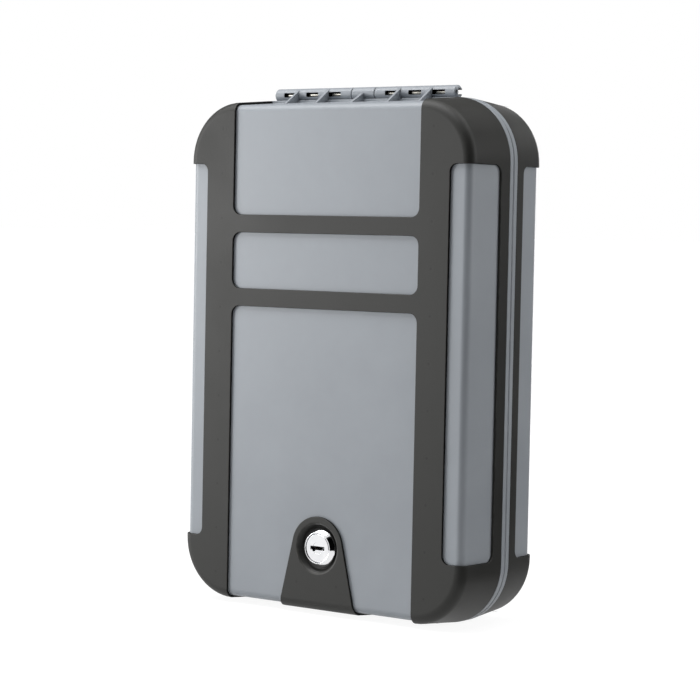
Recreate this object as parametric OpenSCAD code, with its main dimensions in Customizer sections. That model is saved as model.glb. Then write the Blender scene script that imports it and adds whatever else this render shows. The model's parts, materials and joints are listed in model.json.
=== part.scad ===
// Portable lock box. Two hard shells close like a book on a hinge along the top end, rubber is
// moulded round each shell, foam lines the inside, and a key lock turns a cam behind a strike.
// X runs to the right, Y to the back and Z up, in millimetres. The box stands on its bottom end.

/* [Case] */
// Width over the rims
case_w = 165; // [150:1:190]
// Height over the rims, without the hinge
case_h = 236.5; // [215:0.5:260]
// Depth of the front half, from the rubber face to the seam
lid_depth = 30.4; // [28:0.2:36]
// Depth of the back half, from the rubber face to the seam
base_depth = 26.6; // [24:0.2:34]
// Corner radius seen from the front, over the rims
corner_r = 29.3; // [26:0.1:36]
// Slope of the sides, which spread from the face out to the rim, in degrees
side_slope = 5; // [3:0.5:7]
// Radius of the rounded long edges, over the rubber
edge_r = 4.8; // [4:0.1:6.4]
// Wall of the hard shells
wall = 3; // [2.6:0.1:3.4]
// Gap between the two rims
seam_gap = 0.3; // [0.2:0.05:0.5]
// Width and depth of the step that draws the seam line on each rim
seam_step = 0.25; // [0.15:0.05:0.5]
// How far the lid's inner lip reaches into the back half
lip_len = 2.5; // [1.5:0.1:3.5]
// Clearance round the lip
lip_gap = 0.3; // [0.3:0.05:0.5]

/* [Rubber] */
// Thickness of the rubber, which stands proud of the shells
rubber = 1.2; // [1:0.1:1.5]
// Bare rim of each shell beside the seam, flush with the rubber
rim_w = 2.9; // [2.2:0.1:3.6]
// Half width of the windows on the front and the back
window_half = 53; // [48:0.2:56]
// Corner radius of those windows
window_r = 4.2; // [2:0.2:5]
// Height of the middle of the upper cross band
upper_band_z = 178.2; // [170:0.2:185]
// Height of the middle of the lower cross band
lower_band_z = 144; // [135:0.2:150]
// Width of the cross bands
band_w = 8.3; // [6:0.1:11]
// How far the side windows reach in from the side, on the front and the back
side_reach = 13.4; // [11.8:0.1:15]
// Height left closed at either end of the side windows
side_end = 30.7; // [26:0.1:34]
// Distance from the seam to the front half's side windows
lid_side_y = 9; // [8:0.1:11]
// Distance from the seam to the back half's side windows
base_side_y = 9; // [7.6:0.1:10]
// Corner radius of the side windows
side_r = 3.6; // [2:0.2:4]

/* [Hinge] */
// Height of the hinge axis over the top of the rims
hinge_up = 2.5; // [2.4:0.1:4]
// Distance of the hinge axis behind the seam
hinge_back = 0.55; // [0.4:0.05:1.2]
// Radius of the hinge barrels
hinge_r = 3.1; // [2.9:0.05:3.3]
// Half length of the whole hinge
hinge_half = 52.1; // [50.5:0.2:56]
// Half length of the back half's middle knuckle
knuckle_half = 6.3; // [5:0.1:7.5]
// Gap between the knuckle and the barrels
knuckle_gap = 0.5; // [0.3:0.05:0.8]
// Radius of the hinge pin
pin_r = 1.4; // [1.2:0.05:1.5]
// How far the pin stops short of each end
pin_short = 1.5; // [0.5:0.1:2]
// Distance between the slots along each barrel
slot_pitch = 13.15; // [12.4:0.05:13.4]
// Width of the front slots
slot_w = 7; // [5:0.1:7.6]
// Height of all slots
slot_h = 2.05; // [1.6:0.05:2.4]
// Thickness of the gussets
gusset_t = 1.4; // [1:0.1:2]
// Distance of the inner gussets from the middle
gusset_in = 20.6; // [20.6:0.1:22]
// Distance of the outer gussets from the middle
gusset_out = 38.3; // [36:0.1:38.3]
// How far the gussets reach forward of the hinge axis
gusset_reach = 12; // [9:0.2:15]

/* [Lock] */
// Height of the lock over the bottom
lock_z = 30.9; // [29:0.1:34]
// Radius of the rubber tab round the lock
tab_r = 14.5; // [14:0.1:17]
// Angle of the tab's sides
tab_flare = 13.3; // [5:0.1:18]
// Radius of the dish round the bezel, at the rubber face
dish_r = 11.5; // [10.8:0.1:11.8]
// Radius of the dish at its floor
dish_floor_r = 9.8; // [9.6:0.1:10.2]
// Depth of the dish
dish_depth = 3; // [2.8:0.1:3.4]
// Radius of the bezel
bezel_r = 9; // [8.7:0.1:9.2]
// Height of the bezel over the dish's floor
bezel_h = 2.7; // [2.5:0.1:2.8]
// Straight rim of the bezel
bezel_rim = 1.05; // [0.8:0.05:1.3]
// Radius of the bezel's face
face_r = 7.15; // [7.1:0.05:7.6]
// Radius of the lock's threaded barrel
barrel_r = 8; // [7.8:0.05:8.1]
// Width of that barrel across its two flats
barrel_flats = 14.4; // [14:0.1:15]
// Length of that barrel behind the bezel
barrel_len = 15; // [14.8:0.1:16]
// Width of the nut across its flats
nut_flats = 20; // [19:0.5:21]
// Thickness of the nut
nut_t = 4; // [3:0.1:5]
// Thickness of the washer under the nut
lock_washer_t = 0.8; // [0.5:0.1:1.2]
// Radius of the plug's head
head_r = 6.75; // [6.5:0.05:6.8]
// Thickness of the plug's head
head_t = 2.2; // [1.8:0.1:2.3]
// Radius of the plug
plug_r = 5.5; // [5.4:0.05:5.6]
// Running clearance round the plug and the hinge pin
run_gap = 0.06; // [0.03:0.01:0.09]
// Clearance of parts that slip over one another
slip_gap = 0.1; // [0.06:0.01:0.15]
// Length of the keyway slot across the face
key_w = 8; // [7:0.1:8.6]
// Height of the keyway slot
key_h = 1.7; // [1.3:0.1:2]

/* [Wafers] */
// Number of wafers
wafer_count = 5; // [3:1:5]
// Distance between wafers
wafer_pitch = 2.4; // [2.2:0.05:2.45]
// Thickness of a wafer
wafer_t = 1.2; // [1:0.05:1.3]
// Length of a wafer
wafer_w = 9.6; // [9.3:0.05:9.7]
// Height of a wafer
wafer_h = 4.4; // [4.2:0.05:4.6]
// How far a wafer springs out of the plug
wafer_throw = 0.6; // [0.4:0.05:0.7]

/* [Cam and strike] */
// Thickness of the stop washer
stop_t = 1.2; // [1:0.1:1.4]
// Width of the plug's square tail
tail_w = 5.6; // [5.2:0.1:5.8]
// Length of the cam from its axis
cam_len = 16; // [15:0.25:18]
// Thickness of the cam
cam_t = 2; // [1.6:0.1:2.5]
// Radius of the cam's hub
cam_hub_r = 6.6; // [6:0.1:7]
// Width of the cam's arm
cam_arm_w = 9; // [7:0.5:10]
// Radius of the cam screw and the strike screws
screw_r = 1.5; // [1.4:0.05:1.6]
// Thickness of the strike plate
strike_t = 1.5; // [1.2:0.1:2]
// Width of the strike plate
strike_w = 22; // [20:0.5:24]
// How far the strike plate reaches behind the seam
strike_back = 15; // [13:0.5:17]
// Gap between the cam and the hook of the strike plate
hook_gap = 0.4; // [0.3:0.05:0.8]
// Gap between the cam's tip and the strike plate
tip_gap = 0.7; // [0.5:0.05:1]
// Distance of the strike screws from the middle
strike_screw_x = 6.5; // [5:0.1:7]

/* [Foam] */
// Thickness of the foam sheets
foam_t = 9; // [6:0.5:10]
// Gap between foam and shell
foam_gap = 0.3; // [0.3:0.05:0.5]

/* [Hidden] */
$fn = 96;

// A little extra for cuts, and for pieces of one solid that run into each other
over = 1;
sink = 0.5;

// Least radius of an edge inside, and how far a sloping side cuts into the round edge it runs from
edge_in = 1;
edge_bite = 0.02;

// Planes of the case, front to back
y_front = -(lid_depth + base_depth) / 2;
y_back = -y_front;
y_seam = y_front + lid_depth;
y_lid_rim = y_seam - seam_gap / 2;
y_base_rim = y_seam + seam_gap / 2;
inside = rubber + wall;
half_wall = rubber + wall / 2;
z_mid = case_h / 2;
rim_top = case_h - rubber / cos(side_slope);

// Hinge
hinge_y = y_seam + hinge_back;
hinge_z = case_h + hinge_up;
barrel_from = knuckle_half + knuckle_gap;
slot_mid = (barrel_from + hinge_half) / 2;
web_t = 1;
web_clear = 0.2;
barrel_end = 0.8;
knuckle_web = 3;
knuckle_rib = 4.4;
low_gusset = 0.5;
high_gusset = 2.5;
rib_clear = 0.4;
press_gap = 0.02;

// Lock, from the dish's floor to the cam screw
lock_y = y_front + dish_depth;
y_face = lock_y - bezel_h;
y_boss = y_front + rubber + dish_depth + wall;
tab_bite = 0.04;
pocket_r = dish_r + rubber;
boss_r = pocket_r + wall;
washer_rim = 1;
y_nut = y_boss + lock_washer_t;
y_barrel = lock_y + barrel_len;
y_cam = y_barrel + stop_t;
y_cam_back = y_cam + cam_t;
cam_washer_t = 0.8;
cam_washer_r = 5;
screw_head_r = 3;
screw_head_h = 1.9;
screw_socket_r = 1.5;
screw_socket_h = 1.2;
cam_screw_len = 5.6;
y_screw_hole = y_cam_back + cam_washer_t - cam_screw_len - slip_gap;
face_recess = 0.15;
y_plug = y_face + face_recess;
y_head = y_plug + head_t;
chamfer_r = 0.5;
step_w = 1.4;
step_x = -2.1;
step_h = 0.7;
dimple_r = 2.7;
dimple_h = 0.25;
keyway_end = 2.2;
groove_r = 6.5;
groove_end = 1;
channel_gap = 0.2;
lug_angle = 30;
turn = 90;
stop_clear = 3.5;
stop_ring_r = 5.9;
stop_disc_r = 5.5;
stop_ring_gap = 0.3;
tail_round = 3.7;

// Wafers
wafer_start = 1.6;
wafer_y = lock_y + wafer_start;
wafer_slack = 0.05;
wafer_frame = 1.1;
wafer_side = 0.9;
ear_x = 1.4;
ear_w = 0.6;
ear_h = 1.5;
spring_r = 0.5;
spring_x = -2.1;
spring_z = wafer_h / 2 + ear_h / 2;

// Strike, set by where the cam turns
y_hook = y_cam - hook_gap;
z_plate = lock_z - cam_len - tip_gap - strike_t;
hook_clear = 2.7;
z_hook = lock_z - barrel_r - hook_clear;
bend_r = 1;
block_side = 2;
block_w = strike_w + 2 * block_side;
block_clear = 0.4;
y_block = y_seam + lip_len + lip_gap + block_clear;
strike_screw_y = (y_block + y_seam + strike_back) / 2;
strike_screw_len = 6;

// Foam cutouts
foam_clear = 1.5;

// Solid drawn in the X and Z plane, from y_a back to y_b
module along_y(y_a, y_b) {
    translate([0, y_b, 0])
        rotate([90, 0, 0])
            linear_extrude(y_b - y_a)
                children();
}

// Solid drawn in the Y and Z plane, from x_a to x_b
module along_x(x_a, x_b) {
    translate([x_a, 0, 0])
        rotate([90, 0, 90])
            linear_extrude(x_b - x_a)
                children();
}

// Tapered bar on the lock's axis, from y_a back to y_b
module lock_cone(y_a, y_b, r_a, r_b) {
    translate([0, y_a, lock_z])
        rotate([-90, 0, 0])
            cylinder(h = y_b - y_a, r1 = r_a, r2 = r_b);
}

// Round bar on the lock's axis, from y_a back to y_b
module lock_bar(y_a, y_b, r) {
    translate([0, y_a, lock_z])
        rotate([-90, 0, 0])
            cylinder(h = y_b - y_a, r = r);
}

// Outline drawn round the lock's axis, from y_a back to y_b
module lock_shape(y_a, y_b) {
    translate([0, 0, lock_z])
        along_y(y_a, y_b)
            children();
}

// Round bar on the hinge axis
module hinge_bar(x_a, x_b, r) {
    translate([x_a, hinge_y, hinge_z])
        rotate([0, 90, 0])
            cylinder(h = x_b - x_a, r = r);
}

// Rectangle with round corners, between two opposite points
module round_rect(a, b, r) {
    translate([a.x + r, a.y])
        square([b.x - a.x - 2 * r, b.y - a.y]);
    translate([a.x, a.y + r])
        square([b.x - a.x, b.y - a.y - 2 * r]);
    for (x = [a.x + r, b.x - r], y = [a.y + r, b.y - r])
        translate([x, y])
            circle(r);
}

// Half section of a block, out from the line low: its edge is round and its side slopes out to the rim
module half_section(half, inset, depth, rim_depth, low) {
    r = max(edge_r - inset, edge_in);
    mid_y = inset + r;
    mid_x = half - (rim_depth - mid_y) * tan(side_slope) - mid_y / cos(side_slope);
    line_r = r - edge_bite;
    polygon([
        [low, inset],
        [low, depth],
        [mid_x + line_r / cos(side_slope) + (depth - mid_y) * tan(side_slope), depth],
        [mid_x + line_r * cos(side_slope), mid_y - line_r * sin(side_slope)],
        [mid_x, inset]
    ]);
    translate([mid_x, mid_y])
        circle(r);
}

// Whole section of a block
module full_section(half, inset, depth, rim_depth) {
    for (side = [0, 1])
        mirror([side, 0])
            half_section(half, inset, depth, rim_depth, -over);
}

// Rounded block behind a rubber face at zero, inset all round from the rubber
module pillow(inset, depth, rim_depth) {
    corner_x = case_w / 2 - corner_r;
    corner_z = case_h / 2 - corner_r;
    along_x(-corner_x, corner_x)
        rotate(90)
            mirror([0, 1])
                full_section(case_h / 2, inset, depth, rim_depth);
    translate([0, 0, -corner_z])
        linear_extrude(2 * corner_z)
            full_section(case_w / 2, inset, depth, rim_depth);
    for (x = [-1, 1], z = [-1, 1])
        translate([x * corner_x, 0, z * corner_z])
            rotate([-90, 0, 0])
                rotate_extrude()
                    half_section(corner_r, inset, depth, rim_depth, 0);
}

// The front half's block, from its inset face back to the plane y_end
module lid_block(inset, y_end) {
    translate([0, y_front, z_mid])
        pillow(inset, y_end - y_front, lid_depth - rim_w);
}

// The back half's block, from its inset face forward to the plane y_end
module base_block(inset, y_end) {
    translate([0, y_back, z_mid])
        mirror([0, 1, 0])
            pillow(inset, y_back - y_end, base_depth - rim_w);
}

// Plate with the case's outline, inset all round
module plate(inset, y_a, y_b) {
    along_y(y_a, y_b)
        round_rect([-case_w / 2 + inset, inset], [case_w / 2 - inset, case_h - inset], corner_r - inset);
}

// Ring cut round the outside of a rim, which draws the seam line
module seam_cut(y_a, y_b) {
    difference() {
        plate(-over, y_a, y_b);
        plate(seam_step, y_a - over, y_b + over);
    }
}

// Bare rim of a shell, flush with the rubber, with a trough under the hinge
module rim_band(y_a, y_b) {
    difference() {
        plate(0, y_a, y_b);
        plate(half_wall, y_a - over, y_b + over);
        hinge_bar(-hinge_half - knuckle_gap, hinge_half + knuckle_gap, hinge_r + rib_clear);
    }
}

// Windows in the rubber of the front or the back
module face_windows() {
    round_rect([-window_half, upper_band_z + band_w / 2], [window_half, case_h + corner_r], window_r);
    round_rect([-window_half, lower_band_z + band_w / 2], [window_half, upper_band_z - band_w / 2], window_r);
    round_rect([-window_half, -corner_r], [window_half, lower_band_z - band_w / 2], window_r);
}

// Rubber tab round the lock, its straight sides all but tangent to its round top
module lock_tab() {
    side_x = (tab_r - tab_bite) * cos(tab_flare);
    side_z = lock_z + (tab_r - tab_bite) * sin(tab_flare);
    foot_x = side_x + (side_z + over) * tan(tab_flare);
    translate([0, lock_z])
        circle(tab_r);
    polygon([[side_x, side_z], [foot_x, -over], [-foot_x, -over], [-side_x, side_z]]);
}

// Window that wraps from the front round the right edge to the side, as far back as y_end
module side_window(y_face, y_end) {
    in_x = case_w / 2 - side_reach;
    out_x = case_w / 2 + corner_r;
    along_y(y_face - over, y_end - side_r - sink)
        round_rect([in_x, side_end], [out_x, case_h - side_end], side_r);
    along_x(in_x + side_r + sink, out_x)
        round_rect([y_face - corner_r, side_end], [y_end, case_h - side_end], side_r);
}

// Gusset that runs from the front up to the barrel, to a height over the hinge axis
module gusset(x, rise) {
    y_foot = hinge_y - gusset_reach;
    z_foot = rim_top - (y_seam - rim_w - y_foot) * tan(side_slope);
    along_x(x - gusset_t / 2, x + gusset_t / 2)
        polygon([
            [y_foot, z_foot - sink],
            [y_lid_rim - web_clear, z_foot - sink],
            [y_lid_rim - web_clear, hinge_z],
            [hinge_y - sqrt(hinge_r * hinge_r - rise * rise), hinge_z + rise],
            [y_foot, z_foot]
        ]);
}

// Slots that leave the hinge barrel's bore open in turn to the front and the back, on one side
module barrel_slots() {
    end_w = slot_pitch - slot_w;
    for (i = [-1, 0, 1])
        translate([slot_mid + i * slot_pitch - slot_w / 2, hinge_y - hinge_r - over, hinge_z - slot_h / 2])
            cube([slot_w, hinge_r + over, slot_h]);
    for (i = [-0.5, 0.5])
        translate([slot_mid + i * slot_pitch - end_w / 2, hinge_y, hinge_z - slot_h / 2])
            cube([end_w, hinge_r + over, slot_h]);
    translate([hinge_half - end_w, hinge_y, hinge_z - slot_h / 2])
        cube([end_w + over, hinge_r + over, slot_h]);
}

// One of the front half's two hinge barrels with its web and gussets
module lid_barrel() {
    hinge_bar(barrel_from, hinge_half - barrel_end, hinge_r);
    translate([hinge_half - barrel_end, hinge_y, hinge_z])
        rotate([0, 90, 0])
            cylinder(h = barrel_end, r1 = hinge_r, r2 = hinge_r - barrel_end);
    along_x(barrel_from, hinge_half - barrel_end)
        translate([y_lid_rim - web_clear - web_t, rim_top - sink])
            square([web_t, hinge_z - rim_top + sink]);
    gusset(gusset_in, high_gusset);
    gusset(gusset_out, high_gusset);
}

// Outline of the lock's threaded barrel, with room round it
module barrel_outline(room) {
    intersection() {
        circle(barrel_r + room);
        square([2 * barrel_r + over, barrel_flats + 2 * room], center = true);
    }
}

module front_shell() {
    color([0.6, 0.63, 0.66])
        difference() {
            union() {
                difference() {
                    lid_block(rubber, y_seam);
                    lid_block(inside, y_seam + over);
                    plate(-over, y_lid_rim, y_seam + over);
                }
                difference() {
                    rim_band(y_seam - rim_w, y_lid_rim);
                    seam_cut(y_lid_rim - seam_step, y_lid_rim + over);
                }
                difference() {
                    plate(half_wall + lip_gap, y_lid_rim - over, y_seam + lip_len);
                    plate(inside, y_lid_rim - 2 * over, y_seam + lip_len + over);
                }
                lock_bar(y_front + inside - sink, y_boss, boss_r);
                for (side = [0, 1])
                    mirror([side, 0, 0])
                        lid_barrel();
                difference() {
                    gusset(0, low_gusset);
                    hinge_bar(-barrel_from, barrel_from, hinge_r + rib_clear);
                }
            }
            lock_bar(y_front, y_front + rubber + dish_depth, pocket_r);
            lock_shape(y_front, y_boss + over)
                barrel_outline(slip_gap);
            hinge_bar(-hinge_half - over, hinge_half + over, pin_r + run_gap);
            for (side = [0, 1])
                mirror([side, 0, 0])
                    barrel_slots();
        }
}

module front_bumper() {
    color([0.2, 0.2, 0.19])
        difference() {
            lid_block(0, y_seam - rim_w);
            lid_block(rubber, y_seam);
            along_y(y_front - over, y_seam)
                face_windows();
            for (side = [0, 1])
                mirror([side, 0, 0])
                    side_window(y_front, y_seam - lid_side_y);
        }
}

module lock_surround() {
    color([0.2, 0.2, 0.19])
        difference() {
            union() {
                intersection() {
                    difference() {
                        lid_block(0, y_seam - rim_w);
                        lid_block(rubber, y_seam);
                    }
                    along_y(y_front - over, y_seam)
                        lock_tab();
                }
                lock_bar(y_front + rubber / 2, y_front + rubber + dish_depth, pocket_r);
            }
            lock_cone(y_front, lock_y, dish_r, dish_floor_r);
            lock_shape(y_front, y_boss)
                circle(barrel_r + slip_gap);
        }
}

module front_foam() {
    color([0.16, 0.16, 0.17])
        difference() {
            lid_block(inside + foam_gap, y_front + inside + foam_gap + foam_t);
            along_y(y_front, y_seam) {
                translate([0, lock_z])
                    circle(boss_r + foam_clear);
                translate([-boss_r - foam_clear, 0])
                    square([2 * (boss_r + foam_clear), lock_z]);
            }
        }
}

// Channels in the lock housing that the wafers spring into, on all four sides
module wafer_channels() {
    reach = 2 * groove_r;
    across = wafer_h + 2 * channel_gap;
    lock_shape(lock_y + groove_end, y_barrel - groove_end) {
        square([reach, across], center = true);
        square([across, reach], center = true);
    }
}

// Ring on the end of the lock housing, open where the stop washer's lug swings
module stop_ring() {
    free = turn + lug_angle + 2 * stop_clear;
    translate([0, y_barrel - sink, lock_z])
        rotate([-90, free - lug_angle / 2 - stop_clear, 0])
            rotate_extrude(angle = 360 - free)
                translate([stop_ring_r, 0])
                    square([barrel_flats / 2 - stop_ring_r, sink + stop_t - stop_ring_gap]);
}

module lock_housing() {
    color([0.85, 0.86, 0.88])
        difference() {
            union() {
                lock_cone(y_face, lock_y - bezel_rim, face_r, bezel_r);
                lock_bar(lock_y - bezel_rim, lock_y, bezel_r);
                lock_shape(lock_y - sink, y_barrel)
                    barrel_outline(0);
                stop_ring();
            }
            lock_bar(y_face - over, y_head + slip_gap, head_r + run_gap);
            lock_bar(y_face, y_barrel + over, plug_r + run_gap);
            wafer_channels();
        }
}

module lock_washer() {
    color([0.6, 0.61, 0.63])
        lock_shape(y_boss, y_nut)
            difference() {
                circle(nut_flats / 2 + washer_rim);
                circle(barrel_r + slip_gap);
            }
}

module lock_nut() {
    color([0.6, 0.61, 0.63])
        difference() {
            translate([0, y_nut, lock_z])
                rotate([-90, 0, 0])
                    cylinder(h = nut_t, r = nut_flats / sqrt(3), $fn = 6);
            lock_bar(y_nut - over, y_nut + nut_t + over, barrel_r + slip_gap);
        }
}

// Keyway as wide as the key's blade, with a notch below for the blade's rib
module keyway_outline() {
    square([key_w, key_h], center = true);
    translate([step_x - step_w / 2, -key_h / 2 - step_h])
        square([step_w, step_h + sink]);
}

// Slot of one wafer in the plug, with the pocket for its ear and spring
module wafer_slot() {
    square([2 * plug_r + over, wafer_h + 2 * wafer_slack], center = true);
    translate([spring_x, wafer_h / 2 - wafer_slack])
        square([ear_x + ear_w + wafer_throw + slip_gap - spring_x, ear_h + 2 * wafer_slack]);
}

module lock_plug() {
    color([0.82, 0.83, 0.85])
        difference() {
            union() {
                lock_cone(y_plug, y_plug + chamfer_r, head_r - chamfer_r, head_r);
                lock_bar(y_plug + chamfer_r, y_head, head_r);
                lock_bar(y_head - sink, y_barrel, plug_r);
                lock_shape(y_barrel - sink, y_cam_back - slip_gap)
                    intersection() {
                        square(tail_w, center = true);
                        circle(tail_round);
                    }
            }
            lock_shape(y_face, y_barrel - keyway_end)
                keyway_outline();
            lock_bar(y_face, y_plug + dimple_h, dimple_r);
            for (i = [0 : wafer_count - 1])
                translate([0, i * wafer_pitch, 0])
                    lock_shape(wafer_y - wafer_slack, wafer_y + wafer_t + wafer_slack)
                        wafer_slot();
            lock_bar(y_screw_hole, y_cam_back + over, screw_r + slip_gap);
        }
}

module stop_washer() {
    color([0.62, 0.63, 0.65])
        difference() {
            union() {
                lock_bar(y_barrel, y_cam, stop_disc_r);
                translate([0, y_barrel, lock_z])
                    rotate([-90, -lug_angle / 2, 0])
                        rotate_extrude(angle = lug_angle)
                            translate([stop_disc_r - sink, 0])
                                square([barrel_flats / 2 - stop_disc_r + sink, stop_t]);
            }
            lock_shape(y_barrel - over, y_cam + over)
                square(tail_w + 2 * slip_gap, center = true);
        }
}

module lock_cam() {
    color([0.66, 0.67, 0.69])
        lock_shape(y_cam, y_cam_back)
            difference() {
                union() {
                    circle(cam_hub_r);
                    translate([0, -cam_arm_w / 2])
                        square([cam_len - cam_arm_w / 2, cam_arm_w]);
                    translate([cam_len - cam_arm_w / 2, 0])
                        circle(cam_arm_w / 2);
                }
                square(tail_w + 2 * slip_gap, center = true);
            }
}

module cam_washer() {
    color([0.62, 0.63, 0.65])
        lock_shape(y_cam_back, y_cam_back + cam_washer_t)
            difference() {
                circle(cam_washer_r);
                circle(screw_r + slip_gap);
            }
}

// Screw with its head's underside at zero, its shank below and a hexagon socket on top
module screw(length) {
    difference() {
        union() {
            translate([0, 0, -length])
                cylinder(h = length + sink, r = screw_r);
            cylinder(h = screw_head_h, r = screw_head_r);
        }
        translate([0, 0, screw_head_h - screw_socket_h])
            cylinder(h = screw_socket_h + over, r = screw_socket_r, $fn = 6);
    }
}

module cam_screw() {
    color([0.5, 0.51, 0.53])
        translate([0, y_cam_back + cam_washer_t, lock_z])
            rotate([-90, 0, 0])
                screw(cam_screw_len);
}

module wafers() {
    color([0.72, 0.58, 0.28])
        for (i = [0 : wafer_count - 1])
            translate([0, i * wafer_pitch, 0])
                lock_shape(wafer_y, wafer_y + wafer_t)
                    difference() {
                        union() {
                            square([wafer_w, wafer_h], center = true);
                            translate([ear_x, wafer_h / 2 - sink])
                                square([ear_w, ear_h + sink]);
                        }
                        square([wafer_w - 2 * wafer_frame, wafer_h - 2 * wafer_side], center = true);
                    }
}

module wafer_springs() {
    color([0.7, 0.71, 0.73])
        for (i = [0 : wafer_count - 1])
            translate([spring_x, wafer_y + i * wafer_pitch + wafer_t / 2, lock_z + spring_z])
                rotate([0, 90, 0])
                    cylinder(h = ear_x - wafer_slack - spring_x, r = spring_r);
}

// Block on the back half's floor that carries the strike plate, with holes for its screws
module strike_block() {
    difference() {
        translate([-block_w / 2, y_block, inside - sink])
            cube([block_w, y_back - inside + sink - y_block, z_plate - inside + sink]);
        for (side = [-1, 1])
            translate([side * strike_screw_x, strike_screw_y, z_plate - strike_screw_len])
                cylinder(h = strike_screw_len + over, r = screw_r + slip_gap / 2);
    }
}

// Middle hinge knuckle with its web and two ribs behind
module base_knuckle() {
    y_foot = hinge_y + gusset_reach;
    z_foot = rim_top - (y_foot - y_seam - rim_w) * tan(side_slope);
    hinge_bar(-knuckle_half, knuckle_half, hinge_r);
    along_x(-knuckle_half, knuckle_half)
        translate([y_base_rim + web_clear, rim_top - sink])
            square([knuckle_web, hinge_z - rim_top + sink]);
    for (side = [-1, 1])
        along_x(side * knuckle_rib - gusset_t / 2, side * knuckle_rib + gusset_t / 2)
            polygon([
                [y_base_rim + web_clear, z_foot - sink],
                [y_foot, z_foot - sink],
                [y_foot, z_foot],
                [hinge_y + hinge_r - low_gusset, hinge_z],
                [y_base_rim + web_clear, hinge_z]
            ]);
}

module back_shell() {
    color([0.6, 0.63, 0.66])
        difference() {
            union() {
                difference() {
                    base_block(rubber, y_seam);
                    base_block(inside, y_seam - over);
                    plate(-over, y_seam - over, y_base_rim);
                    plate(half_wall, y_seam - over, y_seam + lip_len + lip_gap);
                }
                difference() {
                    rim_band(y_base_rim, y_seam + rim_w);
                    seam_cut(y_base_rim - over, y_base_rim + seam_step);
                }
                base_knuckle();
                strike_block();
            }
            hinge_bar(-barrel_from, barrel_from, pin_r + press_gap);
        }
}

module back_bumper() {
    color([0.2, 0.2, 0.19])
        difference() {
            base_block(0, y_seam + rim_w);
            base_block(rubber, y_seam);
            along_y(y_seam, y_back + over)
                face_windows();
            for (side = [0, 1])
                mirror([side, 0, 0])
                    mirror([0, 1, 0])
                        side_window(y_front, -y_seam - base_side_y);
        }
}

module back_foam() {
    notch_w = block_w + 2 * foam_clear;
    color([0.16, 0.16, 0.17])
        difference() {
            base_block(inside + foam_gap, y_back - inside - foam_gap - foam_t);
            translate([-notch_w / 2, y_seam, 0])
                cube([notch_w, y_back - y_seam, z_plate + strike_t + screw_head_h + foam_clear]);
        }
}

module hinge_pin() {
    color([0.7, 0.71, 0.73])
        hinge_bar(-hinge_half + pin_short, hinge_half - pin_short, pin_r);
}

// Bent strip seen from the side: a flat on the block, and a hook turned up in front of the cam
module strike_outline() {
    translate([y_hook - strike_t, z_plate + bend_r])
        square([strike_t, z_hook - z_plate - bend_r]);
    translate([y_hook - strike_t + bend_r, z_plate])
        square([y_seam + strike_back - y_hook + strike_t - bend_r, strike_t]);
    translate([y_hook - strike_t + bend_r, z_plate + bend_r])
        circle(bend_r);
}

module strike_plate() {
    color([0.66, 0.67, 0.69])
        difference() {
            along_x(-strike_w / 2, strike_w / 2)
                strike_outline();
            for (side = [-1, 1])
                translate([side * strike_screw_x, strike_screw_y, z_plate - over])
                    cylinder(h = strike_t + 2 * over, r = screw_r + slip_gap);
        }
}

module strike_screws() {
    color([0.5, 0.51, 0.53])
        for (side = [-1, 1])
            translate([side * strike_screw_x, strike_screw_y, z_plate + strike_t])
                screw(strike_screw_len);
}

front_shell();
front_bumper();
lock_surround();
front_foam();
lock_housing();
lock_washer();
lock_nut();
lock_plug();
stop_washer();
lock_cam();
cam_washer();
cam_screw();
wafers();
wafer_springs();
back_shell();
back_bumper();
back_foam();
hinge_pin();
strike_plate();
strike_screws();
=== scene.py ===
# %% [markdown]
# # A portable lock box
# Two hard grey half shells close like a book on a hinge along the top. Dark rubber is moulded over
# them as bands and corners, a chromed key lock sits in a rubber dish near the bottom, and foam lines
# the inside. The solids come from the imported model, which is loaded as a fixed frame. A piece made
# here lies where its solid lies, in metres, and rides on the body that carries it, so that it moves
# with the joints.

# %% Load the frame
import json
import math

import bmesh
import bpy
from mathutils import Matrix, Vector


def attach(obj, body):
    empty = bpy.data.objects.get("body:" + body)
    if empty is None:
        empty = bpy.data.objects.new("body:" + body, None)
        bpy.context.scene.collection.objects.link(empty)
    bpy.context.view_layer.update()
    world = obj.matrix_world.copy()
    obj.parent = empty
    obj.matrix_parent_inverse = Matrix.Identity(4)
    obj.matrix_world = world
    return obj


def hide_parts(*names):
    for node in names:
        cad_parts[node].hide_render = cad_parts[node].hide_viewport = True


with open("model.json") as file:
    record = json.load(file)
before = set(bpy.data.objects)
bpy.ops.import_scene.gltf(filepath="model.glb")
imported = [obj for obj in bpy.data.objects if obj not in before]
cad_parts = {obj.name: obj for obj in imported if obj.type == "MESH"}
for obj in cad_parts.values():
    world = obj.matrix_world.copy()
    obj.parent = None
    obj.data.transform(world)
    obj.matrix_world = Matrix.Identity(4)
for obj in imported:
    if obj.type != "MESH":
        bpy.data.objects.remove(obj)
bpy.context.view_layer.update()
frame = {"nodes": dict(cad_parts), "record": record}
MM = 0.001
record = frame["record"]
joints = record["behaviour"]["joints"]
body_of_node = {node: body for body, nodes in record["behaviour"]["bodies"].items() for node in nodes}
joint_place = {joint["name"]: Vector(joint["pos_m"]) for joint in joints if "pos_m" in joint}

# %% [markdown]
# ## Camera
# The photograph was taken from the front right, a little above the middle of the box. A camera could
# be turned by hand until it looks right. This one was worked out from the box's own edges instead: a
# turn of 37 degrees, a slight look down and a slight roll. The focal length is kept in pixels of the
# square picture, because that is how it was measured, and is turned into a lens for a 36 mm sensor.

# %% Camera
PICTURE_PX = 700
FOCAL_PX = 2337.1
SENSOR_MM = 36.0
YAW = math.radians(37.0)
PITCH = math.radians(2.934)
ROLL = math.radians(1.143)
AIM = Vector((-5.0, 0.35, 120.4)) * MM
DISTANCE = 1086.7 * MM


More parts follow.
